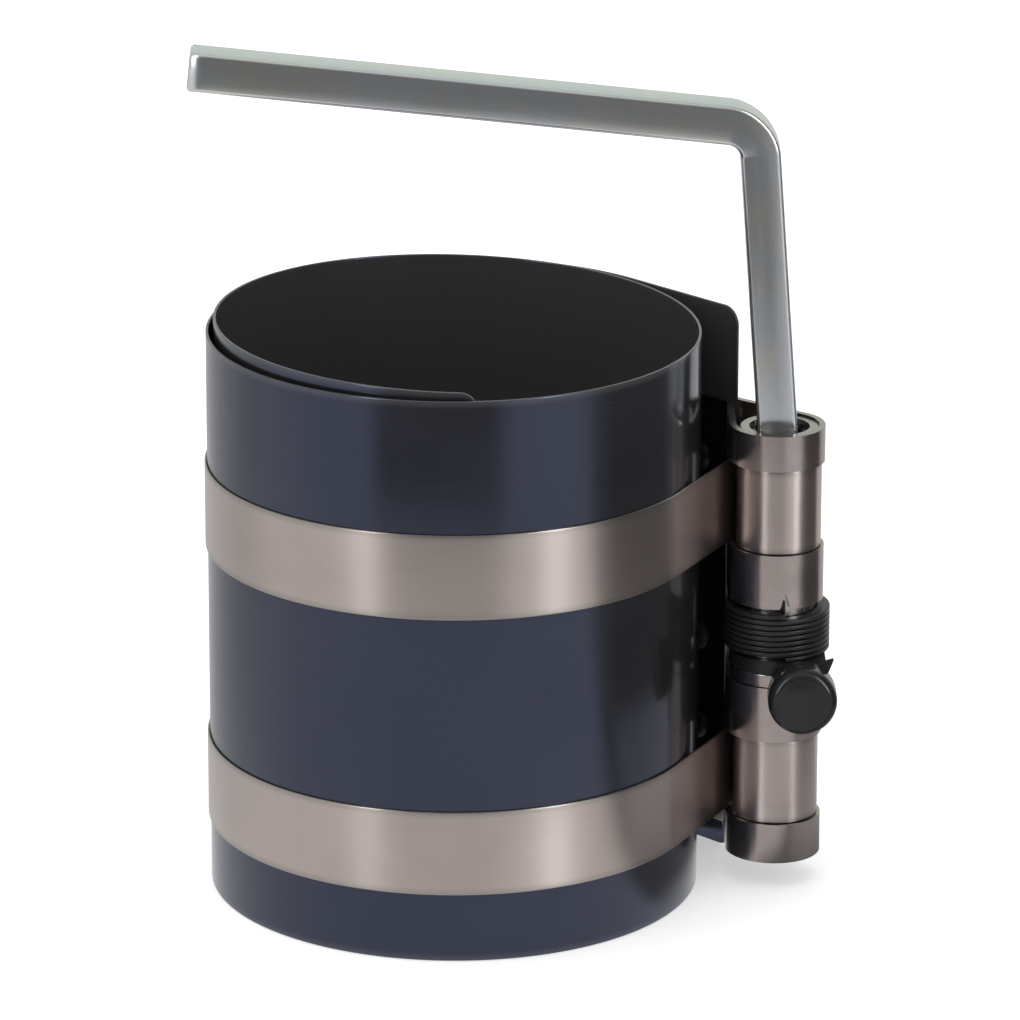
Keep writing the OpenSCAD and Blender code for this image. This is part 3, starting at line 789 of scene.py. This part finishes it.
def makeKeyMaterial():
    # zinc plate: pale metal with a faint yellow, green and blue cast that comes and goes, and drawn lines
    # along the bar
    material = bpy.data.materials.new("platedSteel")
    material.use_nodes = True
    tree = material.node_tree
    shader = tree.nodes["Principled BSDF"]
    place = tree.nodes.new("ShaderNodeTexCoord")
    grain = placeGroup(tree, grainGroup, Vector=place.outputs["UV"], **plating["lines"])
    blueCast = placeGroup(tree, smearGroup, Vector=place.outputs["Object"], **plating["blueCast"])
    greenCast = placeGroup(tree, smearGroup, Vector=place.outputs["Object"], **plating["greenCast"])
    plated = mixColours(tree, greenCast, plating["yellow"], plating["green"])
    tinted = mixColours(tree, blueCast, plating["blue"], plated)
    tree.links.new(tinted, shader.inputs["Base Color"])
    shader.inputs["Metallic"].default_value = plating["metallic"]
    shader.inputs["Specular IOR Level"].default_value = plating["gloss"]
    tree.links.new(mixValues(tree, grain, *plating["rough"]), shader.inputs["Roughness"])
    bump = tree.nodes.new("ShaderNodeBump")
    bump.inputs["Strength"].default_value = plating["bump"]
    bump.inputs["Distance"].default_value = plating["relief"] * mm
    tree.links.new(grain, bump.inputs["Height"])
    tree.links.new(bump.outputs["Normal"], shader.inputs["Normal"])
    return material


def makeKey():
    # a rounded square carried along a straight leg, a bend and a straight arm; the section swells a little
    # on the bend's inside and thins on its outside, and both ends are chamfered
    size = keySizes
    midR = size["bendR"] + size["width"] / 2
    tangent = midR * math.tan(math.radians(size["bend"] / 2))
    legLen = size["leg"] - tangent
    armLen = size["arm"] - tangent
    count = size["legPoints"]
    legRun = np.stack([np.zeros(count), np.linspace(size["chamfer"], legLen, count)], axis=1)
    turn = np.radians(np.linspace(0, size["bend"], size["bendPoints"]))[1:]
    bendRun = np.stack([-midR + midR * np.cos(turn), legLen + midR * np.sin(turn)], axis=1)
    aim = direction(size["bend"] + 90)
    reach = np.linspace(0, armLen - size["chamfer"], size["armPoints"])[1:]
    armRun = bendRun[-1] + reach[:, None] * aim[None, :]
    path = np.concatenate([[[0, 0]], legRun, bendRun, armRun, [bendRun[-1] + armLen * aim]])
    left, along = pathFrame(path)
    normal = -left  # to the bend's outside
    bent = np.zeros(len(path))
    first = 1 + len(legRun)
    bent[first : first + len(bendRun)] = np.sin(np.linspace(0, math.pi, len(bendRun)))
    x, z = wireSection(size["width"], size["width"], size["edge"], steps=4)
    shrink = np.ones(len(path))
    shrink[[0, -1]] = 1 - 2 * size["chamfer"] / size["width"]
    out = x[None, :] * shrink[:, None]
    out = out - size["thinned"] * bent[:, None] * (x[None, :] > 0)
    swell = 1 + size["swollen"] * bent[:, None] * np.where(x[None, :] < 0, 1.0, -size["narrowed"])
    across = z[None, :] * shrink[:, None] * swell
    legX = path[:, 0][:, None] + out * normal[:, 0][:, None]
    legZ = path[:, 1][:, None] + out * normal[:, 1][:, None]
    # lean about the socket's middle, with the tip near the socket's floor, and turn about the shaft
    lean = math.radians(size["lean"])
    engage = size["socketLen"] / 2 - size["tipGap"]
    sunk = legZ - engage
    tiltX = legX * math.cos(lean) - sunk * math.sin(lean)
    tiltZ = legX * math.sin(lean) + sunk * math.cos(lean)
    armTurn = math.radians(size["angle"] - 180 + frameTurn)
    worldX = drumPlace[0] + tiltX * math.cos(armTurn) - across * math.sin(armTurn)
    worldY = drumPlace[1] + tiltX * math.sin(armTurn) + across * math.cos(armTurn)
    worldZ = size["socketTop"] - size["socketLen"] / 2 + tiltZ
    points = np.stack([worldX, worldY, worldZ], axis=2) * mm
    around = np.arange(len(x)) / len(x) * 4 * size["width"]
    uv = np.stack(np.broadcast_arrays(along[:, None], around[None, :]), axis=2) * mm
    body = gridMesh("keyBar", points, uv)
    dress(body, makeKeyMaterial())
    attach(body, "key")
    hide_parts("key")


makeKey()
print("key made")

# node: finish, body, material slot and the width of its eased edges in millimetres, 0 for crisp ones
eased = {
    "housing": ("housingSteel", "root", "housing_steel", 0),
    "spacer_ring": ("housingSteel", "root", "housing_steel", 0.14),
    "shaft": ("shaftSteel", "spool", "shaft_steel", 0.22),
    "release_lever": ("blackSteel", "release", "black_steel", 0.15),
}
for node, (finish, rider, slotName, bevel) in eased.items():
    piece = refined(node, bevel)
    if not bevel:
        roundNormals(piece, drumPlace * mm)
    dress(piece, materials[finish])
    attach(piece, rider)
    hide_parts(node)

for node in ("housing_rivets", "knob_pin"):
    dress(nodes[node], materials["blackSteel"])
print("housing, shaft, ring and lever made")

knob = {
    "d": 9.6,
    "length": 4.9,
    "edge": 1.4,  # radius between its side and its face
    "side": 3.2,  # of the arm's middle
    "crown": 0.25,  # the face's rise to its middle
    "backR": 1.3,  # radius of a ring on its back
    "chamfer": [(0.5, 0.0), (0.12, 0.1), (0.0, 0.35)],  # at its back: in from the side, and forwards
    "poleR": 0.004,  # keeps the middle open as a tiny ring, which a face closes
    "edgePoints": 14,
    "facePoints": 9,
    "steps": 96,
    "armGap": 0.25,  # free space between the housing and the lever's arm
    "armT": 1.1,
}


def makeKnob():
    # a profile of radius and distance forwards, turned about the knob's axis, in front of the lever's arm:
    # the back with its chamfer, a quarter circle from the side to the face, and the face as a parabola
    low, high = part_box("release_knob")
    axisAngle = clutch["knobAngle"] + 90 + frameTurn
    forward = direction(axisAngle - 90)
    sideways = direction(axisAngle)
    radius = knob["d"] / 2
    inwards, forwards = np.array(knob["chamfer"]).T
    bend = np.radians(np.linspace(0, 90, knob["edgePoints"]))
    faceR = radius - knob["edge"]
    face = np.linspace(1, 0, knob["facePoints"])[1:]
    r = np.concatenate([
        [0.0, knob["backR"]], radius - inwards, faceR + knob["edge"] * np.cos(bend), faceR * face
    ])
    depth = knob["length"] - knob["crown"]
    d = np.concatenate([
        [0.0, 0.0],
        forwards,
        depth - knob["edge"] + knob["edge"] * np.sin(bend),
        depth + knob["crown"] * (1 - face**2),
    ])
    r = np.maximum(r, knob["poleR"])[:, None]
    turn = np.radians(np.linspace(0, 360, knob["steps"], endpoint=False))[None, :]
    centre = drumPlace + knob["side"] * sideways
    out = loopR + clutch["strapT"] / 2 + knob["armGap"] + knob["armT"] + d[:, None]
    x = centre[0] + out * forward[0] + r * np.cos(turn) * sideways[0]
    y = centre[1] + out * forward[1] + r * np.cos(turn) * sideways[1]
    z = (low.z + high.z) / 2 / mm + r * np.sin(turn)
    points = np.stack([x, y, np.broadcast_to(z, x.shape)], axis=2) * mm
    uv = np.stack(np.broadcast_arrays(turn * radius, d[:, None]), axis=2) * mm
    body = gridMesh("knobButton", points, uv)
    dress(body, materials["knobBlack"])
    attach(body, "release")
    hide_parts("release_knob")


makeKnob()
print("knob made")

studio = {
    "floorSize": 4.0,
    "floorDrop": 0.0001,  # just under the object
    "floorColour": (0.8, 0.8, 0.8),
    "floorRough": 0.9,
    "floorOwn": 0.45,  # the floor's own white for the camera, beside what the lamps give it
    "backdrop": 1.0,
    "plainLevel": 0.78,  # what plain surfaces are lit with
    "nearLevel": 0.9,  # what metal sees of the floor round the object
    "farLevel": 0.7,  # the same behind the object
    "farFrom": (-0.03, 0.06),  # where the one becomes the other
    "darkLevel": 0.1,  # what it sees of the room there
    # places where metal sees the floor dim or end: direction of the middle (degrees, 0 towards the camera,
    # + to its right), half width, softness on both sides, the two distances between which it fades in, and
    # the level
    "floorEnds": {
        "front": (-7.0, 28.0, 6.0, 0.212, 0.25, 0.1),
        # foot and dim paint the tool's shadow on the floor to its right, as metal sees it: dark from about
        # 40 mm out, half as bright beyond 75 mm
        "foot": (86.0, 24.0, 5.0, 0.034, 0.043, 0.2),
        "dim": (91.0, 22.0, 3.0, 0.05, 0.075, 0.5),
        "side": (91.0, 22.0, 3.0, 0.108, 0.125, 0.1),
    },
    # upright lamps that metal sees above the floor: direction of the middle, half width, softness, level
    "tallLamps": [
        (-40.5, 4.5, 3.5, 9.0),
        (46.5, 5.0, 4.0, 13.0),
    ],
    "roomLevel": 0.6,
    "skyLevel": 0.8,  # above and behind the object
    "skyTint": (0.92, 1.0, 0.9),
    "skyBehind": (0.0, 0.5),  # where it begins and is full, as the direction's Y
    "skyAbove": (0.45, 0.85),  # the same for its Z
    "white": (1.0, 1.0, 1.0),
}
# the lamp that plain surfaces are lit with, beside the room
overhead = {"place": (-0.3, -0.2, 1.6), "aim": (0, 0, 0.03), "size": (1.4, 1.4), "power": 9.0}


def fadeBetween(tree, value, start, end):
    # from 0 at the start to 1 at the end
    node = tree.nodes.new("ShaderNodeMapRange")
    node.interpolation_type = "SMOOTHSTEP"
    tree.links.new(value, node.inputs["Value"])
    node.inputs["From Min"].default_value = min(start, end)
    node.inputs["From Max"].default_value = max(start, end)
    node.inputs["To Min"].default_value = 0.0 if start < end else 1.0
    node.inputs["To Max"].default_value = 1.0 if start < end else 0.0
    return node.outputs["Result"]


def bandMask(tree, value, middle, half, soft):
    # 1 within half a width of the middle, fading to 0 over the softness
    away = mathNode(tree, "ABSOLUTE", mathNode(tree, "SUBTRACT", value, middle))
    return fadeBetween(tree, away, half + soft, half - soft)


def heading(tree, split):
    # degrees round the object from the camera's side
    flip = mathNode(tree, "MULTIPLY", split.outputs["Y"], -1.0)
    return mathNode(tree, "MULTIPLY", mathNode(tree, "ARCTAN2", split.outputs["X"], flip), 180 / math.pi)


def blend(tree, share, first, second):
    # from the first value at a share of 0 to the second at 1
    node = tree.nodes.new("ShaderNodeMix")
    node.data_type = "FLOAT"
    for slot, value in ((0, share), (2, first), (3, second)):
        feed(tree, node.inputs[slot], value)
    return node.outputs[0]


def makeWorld():
    # white for the camera and plain light for plain surfaces; metal sees a room that is dark where the
    # floor ends, two tall lamps, and a bright sky behind and above
    world = bpy.data.worlds.new("studio")
    bpy.context.scene.world = world
    world.use_nodes = True
    tree = world.node_tree
    tree.nodes.clear()
    place = tree.nodes.new("ShaderNodeTexCoord")
    split = tree.nodes.new("ShaderNodeSeparateXYZ")
    tree.links.new(place.outputs["Generated"], split.inputs[0])
    degrees = heading(tree, split)
    front, side = (bandMask(tree, degrees, *studio["floorEnds"][end][:3]) for end in ("front", "side"))
    room = blend(tree, front, studio["roomLevel"], studio["darkLevel"])
    for middle, half, soft, level in studio["tallLamps"]:
        lamp = mathNode(tree, "MULTIPLY", bandMask(tree, degrees, middle, half, soft), level)
        room = mathNode(tree, "ADD", room, lamp)
    behind = fadeBetween(tree, split.outputs["Y"], *studio["skyBehind"])
    above = fadeBetween(tree, split.outputs["Z"], *studio["skyAbove"])
    sky = mathNode(tree, "MAXIMUM", behind, above)
    seen = blend(tree, side, blend(tree, sky, room, studio["skyLevel"]), studio["darkLevel"])
    path = tree.nodes.new("ShaderNodeLightPath")
    lit = blend(tree, path.outputs["Is Glossy Ray"], studio["plainLevel"], seen)
    shown = blend(tree, path.outputs["Is Camera Ray"], lit, studio["backdrop"])
    tinted = mathNode(tree, "MULTIPLY", sky, path.outputs["Is Glossy Ray"])
    light = tree.nodes.new("ShaderNodeBackground")
    tree.links.new(mixColours(tree, tinted, studio["white"], studio["skyTint"]), light.inputs["Color"])
    tree.links.new(shown, light.inputs["Strength"])
    out = tree.nodes.new("ShaderNodeOutputWorld")
    tree.links.new(light.outputs[0], out.inputs[0])


def makeFloor():
    # pale, with some white of its own for the camera so that only the shadow shows; metal sees it as a
    # white sheet that dims and ends on two sides
    size = studio["floorSize"] / 2
    mesh = bpy.data.meshes.new("floor")
    corners = [(-size, -size), (size, -size), (size, size), (-size, size)]
    mesh.from_pydata([(x, y, -studio["floorDrop"]) for x, y in corners], [], [(0, 1, 2, 3)])
    floor = bpy.data.objects.new("floor", mesh)
    bpy.context.scene.collection.objects.link(floor)
    material = bpy.data.materials.new("paleFloor")
    material.use_nodes = True
    tree = material.node_tree
    shader = tree.nodes["Principled BSDF"]
    shader.inputs["Base Color"].default_value = (*studio["floorColour"], 1.0)
    shader.inputs["Roughness"].default_value = studio["floorRough"]
    shader.inputs["Emission Color"].default_value = (*studio["white"], 1.0)
    path = tree.nodes.new("ShaderNodeLightPath")
    own = mathNode(tree, "MULTIPLY", path.outputs["Is Camera Ray"], studio["floorOwn"])
    tree.links.new(own, shader.inputs["Emission Strength"])
    place = tree.nodes.new("ShaderNodeTexCoord")
    split = tree.nodes.new("ShaderNodeSeparateXYZ")
    tree.links.new(place.outputs["Object"], split.inputs[0])
    degrees = heading(tree, split)
    away = tree.nodes.new("ShaderNodeVectorMath")
    away.operation = "LENGTH"
    tree.links.new(place.outputs["Object"], away.inputs[0])
    back = fadeBetween(tree, split.outputs["Y"], *studio["farFrom"])
    level = blend(tree, back, studio["nearLevel"], studio["farLevel"])
    # on the tool's right these fades paint its shadow on the floor, as metal sees it
    for middle, half, soft, start, end, left in studio["floorEnds"].values():
        there = bandMask(tree, degrees, middle, half, soft)
        beyond = fadeBetween(tree, away.outputs["Value"], start, end)
        level = blend(tree, mathNode(tree, "MULTIPLY", there, beyond), level, left)
    sheet = tree.nodes.new("ShaderNodeEmission")
    tree.links.new(level, sheet.inputs["Strength"])
    swap = tree.nodes.new("ShaderNodeMixShader")
    tree.links.new(path.outputs["Is Glossy Ray"], swap.inputs[0])
    tree.links.new(shader.outputs[0], swap.inputs[1])
    tree.links.new(sheet.outputs[0], swap.inputs[2])
    tree.links.new(swap.outputs[0], tree.nodes["Material Output"].inputs[0])
    mesh.materials.append(material)


def makeLamp(name, place, aim, size, power):
    data = bpy.data.lights.new(name, "AREA")
    data.shape = "RECTANGLE"
    data.size, data.size_y = size
    data.energy = power
    lamp = bpy.data.objects.new(name, data)
    bpy.context.scene.collection.objects.link(lamp)
    lamp.location = place
    lamp.rotation_euler = (Vector(aim) - Vector(place)).to_track_quat("-Z", "Y").to_euler()
    lamp.visible_glossy = False


makeWorld()
makeFloor()
makeLamp("overhead", **overhead)
bpy.context.scene.view_settings.view_transform = "Standard"
print("studio made")
